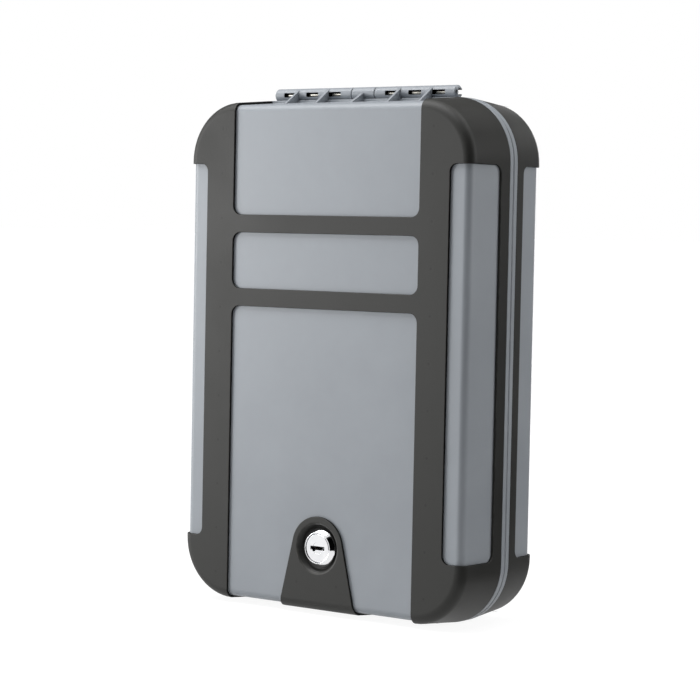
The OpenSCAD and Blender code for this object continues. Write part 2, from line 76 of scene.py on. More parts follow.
def add_to_scene(name, data):
    """An object made of some data, placed in the scene."""
    made = bpy.data.objects.new(name, data)
    bpy.context.scene.collection.objects.link(made)
    return made


forward = Vector((-math.sin(YAW) * math.cos(PITCH), math.cos(YAW) * math.cos(PITCH), -math.sin(PITCH)))
level = Vector((math.cos(YAW), math.sin(YAW), 0.0))
upright = level.cross(forward)
picture_right = level * math.cos(ROLL) + upright * math.sin(ROLL)
picture_up = upright * math.cos(ROLL) - level * math.sin(ROLL)

camera_data = bpy.data.cameras.new("studio_camera")
camera_data.sensor_width = SENSOR_MM
camera_data.lens = FOCAL_PX / PICTURE_PX * SENSOR_MM
camera_data.clip_end = 100.0
camera = add_to_scene("studio_camera", camera_data)
camera.matrix_world = Matrix((picture_right, picture_up, -forward)).transposed().to_4x4()
camera.matrix_world.translation = AIM - forward * DISTANCE
bpy.context.scene.camera = camera
bpy.context.scene.view_settings.view_transform = "Standard"
print("lens in mm:", round(camera_data.lens, 1))

# %% [markdown]
# ## Wiring shader nodes
# Every material below is a small network of nodes. Wired socket by socket, it would hide what it does,
# so three helpers do the wiring: one feeds a socket, one does arithmetic, and one maps a range of
# values onto another range.

# %% Node helpers


def feed(tree, socket, value):
    """Links a socket to another node's output, or sets it to a number or colour."""
    if isinstance(value, bpy.types.NodeSocket):
        tree.links.new(value, socket)
    else:
        socket.default_value = value


def arithmetic(tree, operation, first, second=0.0):
    """A math node: each operand is a number or another node's output."""
    node = tree.nodes.new("ShaderNodeMath")
    node.operation = operation
    feed(tree, node.inputs[0], first)
    feed(tree, node.inputs[1], second)
    return node.outputs[0]


def spread(tree, value, low, high, to_low=0.0, to_high=1.0):
    """Maps a value from one range to another, clamped at both ends."""
    node = tree.nodes.new("ShaderNodeMapRange")
    ends = {"Value": value, "From Min": low, "From Max": high, "To Min": to_low, "To Max": to_high}
    for label, end in ends.items():
        feed(tree, node.inputs[label], end)
    return node.outputs["Result"]


# %% [markdown]
# ## White ground
# A catalogue picture has a white ground that runs into a white backdrop. Stronger lamps would give
# that, but would bleach the box as well. So the white is given only to rays that come from the camera,
# or that bounce off or pass through something shiny. All other rays meet a plain pale floor.

# %% Rays that see the backdrop


def white_rays(tree):
    """A value that is 1 for rays that see the backdrop and 0 for rays that only carry light."""
    path = tree.nodes.new("ShaderNodeLightPath")
    shiny = arithmetic(tree, "MAXIMUM", path.outputs["Is Camera Ray"], path.outputs["Is Glossy Ray"])
    return arithmetic(tree, "MAXIMUM", shiny, path.outputs["Is Transmission Ray"])


# %% [markdown]
# The floor is one wide plane. A fixed share of it is that white, and the rest is ordinary pale paint,
# so the box keeps its soft shadow. The white rises a little with the distance from the box, because
# the lamps light the floor less out there.

# %% Floor
FLOOR_HALF = 60.0
FLOOR_COLOUR = (0.58, 0.58, 0.58, 1.0)
FLOOR_ROUGHNESS = 0.9
FLOOR_WHITE_SHARE = 0.7
WHITE_NEAR = 1.31
WHITE_FAR = 1.45
NEAR_FLOOR = 0.35
FAR_FLOOR = 1.1


def mesh_of(bm, name):
    """Turns a bmesh into a mesh and lets the bmesh go."""
    mesh = bpy.data.meshes.new(name)
    bm.to_mesh(mesh)
    bm.free()
    return mesh


def node_material(name):
    """A new material, its node tree and its Principled shader."""
    material = bpy.data.materials.new(name)
    material.use_nodes = True
    return material, material.node_tree, material.node_tree.nodes["Principled BSDF"]


floor_bm = bmesh.new()
bmesh.ops.create_grid(floor_bm, x_segments=1, y_segments=1, size=FLOOR_HALF)
floor = add_to_scene("studio_floor", mesh_of(floor_bm, "studio_floor"))

floor_paint, tree, shader = node_material("studio_floor_paint")
shader.inputs["Base Color"].default_value = FLOOR_COLOUR
shader.inputs["Roughness"].default_value = FLOOR_ROUGHNESS
from_box = tree.nodes.new("ShaderNodeVectorMath")
from_box.operation = "LENGTH"
feed(tree, from_box.inputs[0], tree.nodes.new("ShaderNodeTexCoord").outputs["Object"])
white = spread(tree, from_box.outputs["Value"], NEAR_FLOOR, FAR_FLOOR, WHITE_NEAR, WHITE_FAR)
glow = tree.nodes.new("ShaderNodeEmission")
feed(tree, glow.inputs["Strength"], white)
floor_mix = tree.nodes.new("ShaderNodeMixShader")
feed(tree, floor_mix.inputs[0], arithmetic(tree, "MULTIPLY", white_rays(tree), FLOOR_WHITE_SHARE))
feed(tree, floor_mix.inputs[1], shader.outputs[0])
feed(tree, floor_mix.inputs[2], glow.outputs[0])
feed(tree, tree.nodes["Material Output"].inputs["Surface"], floor_mix.outputs[0])
floor.data.materials.append(floor_paint)
print("floor in m:", 2 * FLOOR_HALF)

# %% [markdown]
# The world gives a weak, even light from all round, as a pale room does. It is white for the same rays
# as the floor, so that chrome shows a white studio.

# %% World
WORLD_FILL = 0.03
WORLD_WHITE = 1.0

world = bpy.data.worlds.new("studio_world")
world.use_nodes = True
bpy.context.scene.world = world
tree = world.node_tree
background = tree.nodes["Background"]
background.inputs["Color"].default_value = (1.0, 1.0, 1.0, 1.0)
room_light = spread(tree, white_rays(tree), 0.0, 1.0, WORLD_FILL, WORLD_WHITE)
feed(tree, background.inputs["Strength"], room_light)
print("world fill:", WORLD_FILL)

# %% [markdown]
# ## Lamps
# The photograph's light can be read from its shading. The front is lit from the upper left, the right
# side by weaker lamps that stand behind the plane of the front, and the rounded edge between them,
# which faces the camera, is the darkest. So four soft boxes stand at the front left, from low beside
# the box to nearly overhead, two stand on the right, and one lights the back. Light adds up, so each
# power was found by rendering every lamp alone and weighing the pictures against the photograph.

# %% Soft boxes
LAMP_AIM = Vector((0.0, 0.0, 120.0)) * MM


def facing_box(turn, height, distance):
    """A placement that faces the box: turn is counted from straight in front towards the right."""
    across = math.cos(math.radians(height))
    away = Vector((
        math.sin(math.radians(turn)) * across,
        -math.cos(math.radians(turn)) * across,
        math.sin(math.radians(height)),
    ))
    place = away.to_track_quat("Z", "Y").to_matrix().to_4x4()
    place.translation = LAMP_AIM + away * distance
    return place


def soft_box(name, turn, height, distance, size, power):
    """A square soft lamp at a turn and height in degrees."""
    lamp = bpy.data.lights.new(name, "AREA")
    lamp.shape = "SQUARE"
    lamp.size = size
    lamp.energy = power
    add_to_scene(name, lamp).matrix_world = facing_box(turn, height, distance)


soft_box("key_soft_box", turn=-55, height=55, distance=1.1, size=0.65, power=5.9)
soft_box("low_soft_box", turn=-50, height=8, distance=1.2, size=0.4, power=3.6)
soft_box("near_soft_box", turn=-60, height=5, distance=0.7, size=0.3, power=1.65)
soft_box("top_soft_box", turn=-20, height=70, distance=1.0, size=0.6, power=5.8)
soft_box("side_soft_box", turn=115, height=18, distance=1.2, size=0.7, power=4.8)
soft_box("side_top_soft_box", turn=125, height=60, distance=1.2, size=0.7, power=3.6)
soft_box("back_soft_box", turn=-172, height=8, distance=1.2, size=0.7, power=6.0)

# %% [markdown]
# Photographers stand black card round a shiny object to keep its sides from turning milky. Three cards
# stand upright here and a fourth lies on the floor to the right. Only mirror-like rays see them, so
# they darken the reflections in the chrome and on the sides, and throw no shadow.

# %% Black cards
card_black, tree, shader = node_material("card_black")
shader.inputs["Base Color"].default_value = (0.004, 0.004, 0.004, 1.0)
shader.inputs["Roughness"].default_value = 1.0
shader.inputs["Specular IOR Level"].default_value = 0.0


def black_card(name, place, width, tall):
    """A black rectangle that is seen in reflections only."""
    bm = bmesh.new()
    bmesh.ops.create_grid(bm, x_segments=1, y_segments=1, size=0.5)
    bmesh.ops.scale(bm, vec=(width, tall, 1.0), verts=bm.verts)
    bmesh.ops.transform(bm, matrix=place, verts=bm.verts)
    card = add_to_scene(name, mesh_of(bm, name))
    card.visible_camera = False
    card.visible_diffuse = False
    card.visible_shadow = False
    card.visible_transmission = False
    card.data.materials.append(card_black)


black_card("side_black_card", facing_box(turn=145, height=14, distance=1.7), width=3.2, tall=2.6)
black_card("room_black_card", facing_box(turn=55, height=18, distance=1.7), width=3.2, tall=2.2)
black_card("back_black_card", facing_box(turn=-143, height=20, distance=1.7), width=3.4, tall=2.6)
black_card("floor_black_card", Matrix.Translation((0.96, 0.25, 0.001)), width=1.7, tall=3.3)

# %% [markdown]
# ## Shared finishes
# Effects that several materials use are built once as node groups. They read object coordinates, so a
# pattern stays on its piece when the piece turns. The first is the fine stipple that a mould leaves on
# plastic and rubber. Modelled, it would take millions of dents, so a texture of cells and grain gives
# the height for a Bump node instead, and a second, broad noise gives a cloudy tone.

# %% Mould stipple
CLOUD_SCALE = 26.0


def new_group(name, inputs, outputs):
    """An empty shader node group with float or vector inputs and float outputs."""
    group = bpy.data.node_groups.new(name, "ShaderNodeTree")
    for label, default in inputs.items():
        kind = "NodeSocketVector" if default is None else "NodeSocketFloat"
        socket = group.interface.new_socket(label, in_out="INPUT", socket_type=kind)
        if default is not None:
            socket.default_value = default
    for label in outputs:
        group.interface.new_socket(label, in_out="OUTPUT", socket_type="NodeSocketFloat")
    return group, group.nodes.new("NodeGroupInput").outputs, group.nodes.new("NodeGroupOutput").inputs


def noise(tree, vector, scale, detail=2.0, roughness=0.5):
    """A noise texture's value."""
    texture = tree.nodes.new("ShaderNodeTexNoise")
    values = {"Vector": vector, "Scale": scale, "Detail": detail, "Roughness": roughness}
    for label, value in values.items():
        feed(tree, texture.inputs[label], value)
    return texture.outputs[0]


stipple, given, result = new_group("mould_stipple", {"Vector": None, "Grain": 2400.0}, ("Height", "Cloud"))
cells = stipple.nodes.new("ShaderNodeTexVoronoi")
cells.feature = "SMOOTH_F1"
feed(stipple, cells.inputs["Vector"], given["Vector"])
feed(stipple, cells.inputs["Scale"], given["Grain"])
fine = noise(stipple, given["Vector"], given["Grain"], detail=3.0)
feed(stipple, result["Height"], arithmetic(stipple, "ADD", cells.outputs["Distance"], fine))
feed(stipple, result["Cloud"], noise(stipple, given["Vector"], CLOUD_SCALE, detail=4.0, roughness=0.6))
print("node group:", stipple.name)

# %% [markdown]
# Hands and bags rub exposed edges pale. The rounded edges carry a face attribute, which is set where
# they are rounded, so the rub lies exactly on them. This group breaks it up with a patchy noise, so
# that it isn't a clean line.

# %% Rubbed edges
EDGE_ATTRIBUTE = "rounded_edge"
RUB_SCALE = 240.0

rub, given, result = new_group("edge_rub", {"Vector": None, "Edge": 0.0, "Amount": 0.5}, ("Mask",))
patchy = spread(rub, noise(rub, given["Vector"], RUB_SCALE, detail=4.0), low=0.42, high=0.62)
rubbed_edge = arithmetic(rub, "MULTIPLY", given["Edge"], patchy)
feed(rub, result["Mask"], arithmetic(rub, "MULTIPLY", rubbed_edge, given["Amount"]))
print("node group:", rub.name)

# %% [markdown]
# The rubber shows a row of small round gate marks along each upright band, where it was injected
# through the shell. They are almost flush, so a mask draws them better than a mesh would. A mark is a
# dot with a faint ring, so the group measures how far a point lies from the nearest place in the row.
# It takes X without its sign, which serves the left and the right band at once.

# %% Gate marks
BAND_MARKS = {"Vector": None, "Column": 60.0 * MM, "Middle": 118.2 * MM, "Pitch": 20.8 * MM}
DOT_CORE_R = 0.45 * MM
DOT_RIM_R = 0.75 * MM
RING_R = 1.8 * MM
RING_CORE = 0.1 * MM
RING_RIM = 0.35 * MM

marks, given, result = new_group("gate_marks", BAND_MARKS, ("Dot", "Ring"))
split = marks.nodes.new("ShaderNodeSeparateXYZ")
feed(marks, split.inputs[0], given["Vector"])
aside = arithmetic(marks, "SUBTRACT", arithmetic(marks, "ABSOLUTE", split.outputs["X"]), given["Column"])
along = arithmetic(marks, "SUBTRACT", split.outputs["Z"], given["Middle"])
count = arithmetic(marks, "DIVIDE", along, given["Pitch"])
past_mark = arithmetic(marks, "SUBTRACT", count, arithmetic(marks, "ROUND", count))
rise = arithmetic(marks, "MULTIPLY", past_mark, given["Pitch"])
squares = [arithmetic(marks, "MULTIPLY", side, side) for side in (aside, rise)]
far = arithmetic(marks, "SQRT", arithmetic(marks, "ADD", *squares))
off_ring = arithmetic(marks, "ABSOLUTE", arithmetic(marks, "SUBTRACT", far, RING_R))
feed(marks, result["Dot"], spread(marks, far, DOT_CORE_R, DOT_RIM_R, to_low=1.0, to_high=0.0))
feed(marks, result["Ring"], spread(marks, off_ring, RING_CORE, RING_RIM, to_low=1.0, to_high=0.0))
print("node group:", marks.name)

# %% [markdown]
# The dish round the lock is darkened with painted shade. The next group gives a ring shaped mask round the
# line that the lock turns about, which the rubber uses to darken the dish. The painted shade fades towards
# the bottom of the dish, whose lower wall faces up into the light.

# %% Painted shade of the dish
SHADE_RING = {"Vector": None, "Inner": 9.3 * MM, "Outer": 11.4 * MM}
LIT_BELOW = -10.5 * MM
SHADED_ABOVE = -4.0 * MM
LIT_SHARE = 0.25
lock_axis = joint_place["lock_turn"]

dish_shade_group, given, result = new_group("dish_painted_shade", SHADE_RING, ("Mask",))
from_axis = dish_shade_group.nodes.new("ShaderNodeVectorMath")
from_axis.operation = "MULTIPLY_ADD"
feed(dish_shade_group, from_axis.inputs[0], given["Vector"])
from_axis.inputs[1].default_value = (1.0, 0.0, 1.0)
from_axis.inputs[2].default_value = (-lock_axis.x, 0.0, -lock_axis.z)
far = dish_shade_group.nodes.new("ShaderNodeVectorMath")
far.operation = "LENGTH"
feed(dish_shade_group, far.inputs[0], from_axis.outputs["Vector"])
ring = spread(dish_shade_group, far.outputs["Value"], given["Inner"], given["Outer"], to_low=1.0, to_high=0.0)
split = dish_shade_group.nodes.new("ShaderNodeSeparateXYZ")
feed(dish_shade_group, split.inputs[0], from_axis.outputs["Vector"])
shade_by_height = spread(dish_shade_group, split.outputs["Z"], LIT_BELOW, SHADED_ABOVE, LIT_SHARE, 1.0)
feed(dish_shade_group, result["Mask"], arithmetic(dish_shade_group, "MULTIPLY", ring, shade_by_height))
print("node group:", dish_shade_group.name, "lock height in mm:", round(lock_axis.z / MM, 1))

# %% [markdown]
# ## Materials
# Each material is a Principled shader whose colour, roughness and normal come from those groups. A
# picture could be wrapped round each piece instead, but textures in object coordinates need no
# unwrapping and have no seams. The colours are the object's own, written as they look under plain
# light. A value that is the same all over a surface is set on the shader itself.

# %% Material helpers
TONE_LOW = 0.3
TONE_HIGH = 0.7


def srgb(red, green, blue):
    """A colour written as screen values from 0 to 255, as the linear values that shaders use."""
    def linear(value):
        share = value / 255
        return share / 12.92 if share <= 0.04045 else ((share + 0.055) / 1.055) ** 2.4
    return (linear(red), linear(green), linear(blue), 1.0)


def new_material(name, roughness, metallic=0.0, specular=0.5):
    """A material, its tree, the sockets of its Principled shader, and object coordinates."""
    material, tree, shader = node_material(name)
    shader.inputs["Roughness"].default_value = roughness
    shader.inputs["Metallic"].default_value = metallic
    shader.inputs["Specular IOR Level"].default_value = specular
    return material, tree, shader.inputs, tree.nodes.new("ShaderNodeTexCoord").outputs["Object"]


def use_group(tree, group, **values):
    """Places a node group with its values, and gives its outputs."""
    node = tree.nodes.new("ShaderNodeGroup")
    node.node_tree = group
    for label, value in values.items():
        feed(tree, node.inputs[label], value)
    return node.outputs


def tone(tree, value, to_low=0.0, to_high=1.0):
    """A noise's middle range, where most of its values lie, mapped to a range of its own."""
    return spread(tree, value, TONE_LOW, TONE_HIGH, to_low, to_high)


def blend_colour(tree, share, first, second):
    """A mix of two colours, each written out or another node's output."""
    node = tree.nodes.new("ShaderNodeMix")
    node.data_type = "RGBA"
    feed(tree, node.inputs["Factor"], share)
    for label, colour in (("A", first), ("B", second)):
        feed(tree, next(s for s in node.inputs if s.name == label and s.type == "RGBA"), colour)
    return next(s for s in node.outputs if s.type == "RGBA")


def bump(tree, sockets, height, strength, distance):
    """Feeds a height to the shader's normal."""
    node = tree.nodes.new("ShaderNodeBump")
    for label, value in {"Strength": strength, "Distance": distance, "Height": height}.items():
        feed(tree, node.inputs[label], value)
    feed(tree, sockets["Normal"], node.outputs["Normal"])


def face_value(tree, attribute):
    """A face attribute of the piece."""
    node = tree.nodes.new("ShaderNodeAttribute")
    node.attribute_name = attribute
    return node.outputs["Fac"]


def rubbed(tree, place, amount):
    """The mask of the rubbed edges."""
    return use_group(tree, rub, Vector=place, Edge=face_value(tree, EDGE_ATTRIBUTE), Amount=amount)["Mask"]


# %% [markdown]
# The shells are moulded from a blue grey plastic with a satin skin. Its tone drifts a little, as in
# any moulding, the edges are rubbed paler, and the stipple is just strong enough to soften reflections.

# %% Grey shell plastic
shell_plastic, tree, sockets, place = new_material("grey_shell_plastic", roughness=0.42, specular=0.45)
grain = use_group(tree, stipple, Vector=place, Grain=2200.0)
grey = blend_colour(tree, tone(tree, grain["Cloud"]), srgb(143, 148, 154), srgb(149, 154, 160))
grey = blend_colour(tree, rubbed(tree, place, amount=0.35), grey, srgb(178, 182, 187))
feed(tree, sockets["Base Color"], grey)
feed(tree, sockets["Roughness"], tone(tree, grain["Cloud"], to_low=0.38, to_high=0.47))
bump(tree, sockets, grain["Height"], strength=0.12, distance=0.05 * MM)
print("material:", shell_plastic.name)

# %% [markdown]
# The rubber is nearly black and duller. The gate marks on its bands are darker dots in a faint raised
# ring, and the tab round the lock has two plain dots. The dish is darkened with painted shade. The narrow
# walls of the rubber's step are painted the darkest, as painted shade for the shade that lies on them
# against the panels. Where either painted shade lies, the rubber is also rougher.

# %% Charcoal rubber
SHADED_STEP_ATTRIBUTE = "shaded_step_wall"
TAB_MARKS = {"Column": 11.5 * MM, "Middle": 14.5 * MM, "Pitch": 1.0}
DOT_SHARE = 0.55
DISH_SHADE_SHARE = 0.85
SHADE_ROUGHNESS = 0.9
RING_HEIGHT = 0.8

rubber, tree, sockets, place = new_material("charcoal_rubber", roughness=0.5, specular=0.32)
grain = use_group(tree, stipple, Vector=place, Grain=1700.0)
band_marks = use_group(tree, marks, Vector=place)
tab_marks = use_group(tree, marks, Vector=place, **TAB_MARKS)
dots = arithmetic(tree, "MAXIMUM", band_marks["Dot"], tab_marks["Dot"])
dish_shade = use_group(tree, dish_shade_group, Vector=place)["Mask"]
shaded_step = face_value(tree, SHADED_STEP_ATTRIBUTE)

black = blend_colour(tree, tone(tree, grain["Cloud"]), srgb(35, 35, 33), srgb(40, 40, 38))
black = blend_colour(tree, rubbed(tree, place, amount=0.5), black, srgb(70, 70, 67))
black = blend_colour(tree, arithmetic(tree, "MULTIPLY", dots, DOT_SHARE), black, srgb(18, 18, 17))
# Painted shade: the dish is darkened towards near black.
black = blend_colour(tree, arithmetic(tree, "MULTIPLY", dish_shade, DISH_SHADE_SHARE), black, srgb(9, 9, 8))
# Painted shade: the walls of the rubber's step are painted near black.
feed(tree, sockets["Base Color"], blend_colour(tree, shaded_step, black, srgb(6, 6, 6)))

painted_shade_roughness = arithmetic(tree, "MULTIPLY", arithmetic(tree, "MAXIMUM", dish_shade, shaded_step), SHADE_ROUGHNESS)
clean = tone(tree, grain["Cloud"], to_low=0.46, to_high=0.56)
feed(tree, sockets["Roughness"], arithmetic(tree, "MAXIMUM", clean, painted_shade_roughness))
raised = arithmetic(tree, "MULTIPLY", band_marks["Ring"], RING_HEIGHT)
bump(tree, sockets, arithmetic(tree, "ADD", grain["Height"], raised), strength=0.25, distance=0.06 * MM)
print("material:", rubber.name)

# %% [markdown]
# The bezel and the face of the plug are bright chrome. Chrome has hardly any colour of its own, so most
# of what shows is the studio. A faint smear in tone and roughness keeps it from being a perfect mirror.

# %% Lock chrome
chrome, tree, sockets, place = new_material("lock_chrome", roughness=0.07, metallic=1.0)
smear = noise(tree, place, scale=160.0, detail=3.0)
silver = blend_colour(tree, tone(tree, smear), srgb(216, 217, 219), srgb(228, 228, 229))
feed(tree, sockets["Base Color"], silver)
feed(tree, sockets["Roughness"], spread(tree, smear, low=0.35, high=0.65, to_low=0.05, to_high=0.10))
print("material:", chrome.name)

# %% [markdown]
# The nut, washers, cam, strike and springs are zinc plated steel: greyer and softer than chrome, with
# fine hair lines from rolling. The lines are a noise that a Mapping node squeezes along two axes.

# %% Zinc plated steel
plated, tree, sockets, place = new_material("zinc_plated_steel", roughness=0.32, metallic=1.0)
squeeze = tree.nodes.new("ShaderNodeMapping")
squeeze.inputs["Scale"].default_value = (1.0, 12.0, 12.0)
feed(tree, squeeze.inputs["Vector"], place)
hairs = noise(tree, squeeze.outputs["Vector"], scale=260.0, detail=4.0)
zinc = blend_colour(tree, tone(tree, hairs), srgb(188, 190, 190), srgb(206, 207, 203))
zinc = blend_colour(tree, rubbed(tree, place, amount=0.6), zinc, srgb(222, 223, 224))
feed(tree, sockets["Base Color"], zinc)
feed(tree, sockets["Roughness"], tone(tree, hairs, to_low=0.24, to_high=0.42))
bump(tree, sockets, hairs, strength=0.08, distance=0.03 * MM)
print("material:", plated.name)

# %% [markdown]
# The wafers are brass painted dark brown: partly tarnish, and partly painted shade for the dark inside of
# the keyway. Tarnish comes in patches, so one noise drives the tone and the roughness together.

# %% Wafer brass
brass, tree, sockets, place = new_material("wafer_brass", roughness=0.5, metallic=1.0)
tarnish_and_shade = noise(tree, place, scale=300.0, detail=4.0)
# Painted shade and tarnish: the brass is darkened to a deep brown.
brown = blend_colour(tree, tone(tree, tarnish_and_shade), srgb(44, 36, 22), srgb(62, 51, 31))
feed(tree, sockets["Base Color"], brown)
feed(tree, sockets["Roughness"], tone(tree, tarnish_and_shade, to_low=0.45, to_high=0.6))
print("material:", brass.name)

# %% [markdown]
# The hole and the slots of the hinge are painted a dull, nearly black coat. It is painted shade for the
# dark inside of the barrels, so that the pin stands out against it.

# %% Painted shade in the hinge
shaded_hinge_plastic, tree, sockets, place = new_material("shaded_hinge_plastic", roughness=0.8, specular=0.1)
hinge_shade_mottle = tone(tree, noise(tree, place, scale=400.0, detail=3.0))
# Painted shade: a near black with a faint random mottle.
feed(tree, sockets["Base Color"], blend_colour(tree, hinge_shade_mottle, srgb(7, 7, 7), srgb(13, 12, 11)))
print("material:", shaded_hinge_plastic.name)

# %% [markdown]
# The hinge pin is drawn steel under a thin, slightly warm film of grease. It shows in the slots of the
# barrels as a pale glint, so it is smoother than the plated parts.

# %% Pin steel
pin_steel, tree, sockets, place = new_material("pin_steel", roughness=0.2, metallic=1.0)
film = tone(tree, noise(tree, place, scale=220.0, detail=4.0))
feed(tree, sockets["Base Color"], blend_colour(tree, film, srgb(152, 150, 144), srgb(182, 179, 171)))
feed(tree, sockets["Roughness"], spread(tree, film, low=0.0, high=1.0, to_low=0.16, to_high=0.26))
print("material:", pin_steel.name)

# %% [markdown]
# Open cell foam is a web of thin strands round small holes. A Voronoi texture's distance to the edge of a
# cell gives that web, which stands higher than the holes. The holes are painted darker than the web, as
# painted shade in their depth.

# %% Charcoal foam
WEB_WIDTH = 0.35

foam_stuff, tree, sockets, place = new_material("charcoal_foam", roughness=0.95, specular=0.15)
cells = tree.nodes.new("ShaderNodeTexVoronoi")
cells.feature = "DISTANCE_TO_EDGE"
cells.inputs["Scale"].default_value = 900.0
feed(tree, cells.inputs["Vector"], place)
hole = spread(tree, cells.outputs["Distance"], 0.0, WEB_WIDTH)
mottle = tone(tree, noise(tree, place, scale=60.0, detail=4.0))
shaded_hole_tone = blend_colour(tree, mottle, srgb(48, 48, 50), srgb(58, 58, 61))
# Painted shade: the holes are darker than the web, with a random mottle.
feed(tree, sockets["Base Color"], blend_colour(tree, hole, srgb(80, 80, 84), shaded_hole_tone))
bump(tree, sockets, arithmetic(tree, "SUBTRACT", 1.0, hole), strength=0.6, distance=0.4 * MM)
print("material:", foam_stuff.name)

# %% [markdown]
# ## Pieces from the solids
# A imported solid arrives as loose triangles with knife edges, which no moulding or pressing has. So each
# piece starts from a merged copy: the triangles are welded and the flat faces are joined again. A flat
# face with windows in it can't be one face in a mesh, so such a piece is cut along the middle first,
# and the cut is marked as a seam that the joining leaves alone.

# %% Merged copies
WELD = 0.002 * MM
FLAT_ANGLE = math.radians(0.3)


def cut_in_half(bm):
    """Cuts every face at the middle of the box and marks the new edges as a seam."""
    everything = [*bm.verts, *bm.edges, *bm.faces]
    cut = bmesh.ops.bisect_plane(bm, geom=everything, dist=WELD, plane_co=(0, 0, 0), plane_no=(1, 0, 0))
    for part in cut["geom_cut"]:
        if isinstance(part, bmesh.types.BMEdge):
            part.seam = True


def merged_copy(node, halved=False):
    """A bmesh of a solid with its triangles welded and its flat faces joined."""
    mesh = frame["nodes"][node].data.copy()
    for name in [a.name for a in mesh.attributes if a.name.startswith(("custom_normal", "sharp"))]:
        mesh.attributes.remove(mesh.attributes[name])
    bm = bmesh.new()
    bm.from_mesh(mesh)
    bpy.data.meshes.remove(mesh)
    bmesh.ops.remove_doubles(bm, verts=bm.verts, dist=WELD)
    if halved:
        cut_in_half(bm)
    bmesh.ops.dissolve_limit(bm, angle_limit=FLAT_ANGLE, verts=bm.verts, edges=bm.edges, delimit={"SEAM"})
    bm.normal_update()
    return bm


# %% [markdown]
# Real edges are never knife sharp, and a rounded edge catches a thin line of light. A Bevel modifier
# could round them, but the bmesh operator also gives back its new faces, which can then be marked for
# the rub. A bevel that is wider than a short edge beside it folds over and leaves stray faces, so a
# piece can have its short edges closed first.

# %% Sharp edges
SHARP_ANGLE = math.radians(28)


def is_sharp(edge):
    """True for an edge where two faces meet at a corner."""
    return edge.is_manifold and edge.calc_face_angle() > SHARP_ANGLE


def close_short_edges(bm, shortest):
    """Welds each short edge at the end where more sharp edges meet, or else nearer the middle."""
    def hold(vert):
        return sum(map(is_sharp, vert.link_edges)), -abs(vert.co.x)
    moved = {}
    for edge in bm.edges:
        if edge.calc_length() < shortest:
            weak, strong = sorted(edge.verts, key=hold)
            if weak not in moved and strong not in moved and weak not in moved.values():
                moved[weak] = strong
    bmesh.ops.weld_verts(bm, targetmap=moved)
    bm.normal_update()


def round_edges(bm, radius, segments=2, keep=lambda edge: True):
    """Rounds the sharp edges that keep accepts, and marks the new faces as edge."""
    mark = bm.faces.layers.float.get(EDGE_ATTRIBUTE) or bm.faces.layers.float.new(EDGE_ATTRIBUTE)
    sharp = [edge for edge in bm.edges if is_sharp(edge) and keep(edge)]
    made = bmesh.ops.bevel(
        bm, geom=sharp, offset=radius, offset_type="OFFSET", affect="EDGES", segments=segments,
        profile=0.5, material=-1, clamp_overlap=False, loop_slide=True)
    for face in made["faces"]:
        face[mark] = 1.0
    return len(sharp)


# %% [markdown]
# A finished piece stands for its solid: it rides on the same body, and the solid is hidden.
# Smooth shading alone would smear the light of the rounded edges over the flat faces. Weighted normals
# let the large faces win over the small ones, so that they stay flat in the light.

# %% Finished pieces
CREASE_ANGLE = math.radians(50)
FLAT_FACE_WEIGHT = 80


def finish_piece(bm, name, node, *materials):
    """Makes a smooth object of a bmesh, and lets it stand for its solid."""
    for face in bm.faces:
        face.smooth = True
    piece = add_to_scene(name, mesh_of(bm, name))
    for material in materials:
        piece.data.materials.append(material)
    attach(piece, body_of_node[node])
    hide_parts(node)
    return piece


def hard_piece(bm, name, node, *materials):
    """A finished piece whose flat faces stay flat."""
    piece = finish_piece(bm, name, node, *materials)
    piece.data.set_sharp_from_angle(angle=CREASE_ANGLE)
    weighted = piece.modifiers.new("flat_faces_stay_flat", "WEIGHTED_NORMAL")
    weighted.keep_sharp = True
    weighted.weight = FLAT_FACE_WEIGHT
    print(name, "faces:", len(piece.data.polygons))
    return piece


def rounded_piece(node, name, radius, material):
    """A piece that is the solid itself with rounded edges."""
    bm = merged_copy(node)
    round_edges(bm, radius)
    return hard_piece(bm, name, node, material)


# %% [markdown]
# ## Shells
# The two half shells are injection mouldings, so their edges are only just broken: about a tenth of a
# millimetre on the thin hinge ribs and the rims. The hole for the hinge pin, and the slots that open into
# it, are found by their distance from the line that the lid turns about. They get a nearly black coat,
# which is painted shade for the dark inside of the barrels. A slot wall that looks up keeps the grey,
# because light falls on it.

# %% Shells
SHELL_EDGE = 0.12 * MM
HINGE_BORE_R = 1.6 * MM
HINGE_SLOT_R = 3.0 * MM
HINGE_SLOT_HALF = 1.1 * MM
LOOKS_UP = 0.5
hinge_axis = joint_place["lid_hinge"]


def in_hinge_bore(mesh, face):
    """True for a face that lines the pin's hole, or a slot that opens into it, unless it looks up."""
    corners = [mesh.vertices[v].co - hinge_axis for v in face.vertices]
    reach = max(math.hypot(c.y, c.z) for c in corners)
    in_slot = reach < HINGE_SLOT_R and max(abs(c.z) for c in corners) < HINGE_SLOT_HALF
    return reach < HINGE_BORE_R or (in_slot and face.normal.z < LOOKS_UP)


for node, name in (("front_shell", "front_shell_moulding"), ("back_shell", "back_shell_moulding")):
    bm = merged_copy(node, halved=True)
    round_edges(bm, SHELL_EDGE)
    mesh = hard_piece(bm, name, node, shell_plastic, shaded_hinge_plastic).data
    # The faces inside the hinge take the second material, which is painted shade.
    bore = [face for face in mesh.polygons if in_hinge_bore(mesh, face)]
    for face in bore:
        face.material_index = 1
    print("faces in the hinge bore:", len(bore))

# %% [markdown]
# ## Rubber
# The rubber stands proud of the shells. Its edges are softer than the plastic's, so they get a larger
# radius with more segments, which also gives them their line of light. Before that, the walls of its step
# are marked for painted shade: narrow faces between sharp edges that look sideways, up or down.

# %% Rubber bumpers
RUBBER_EDGE = 0.3 * MM
STEP_WIDTH = 1.6 * MM
SIDEWAYS = 0.3


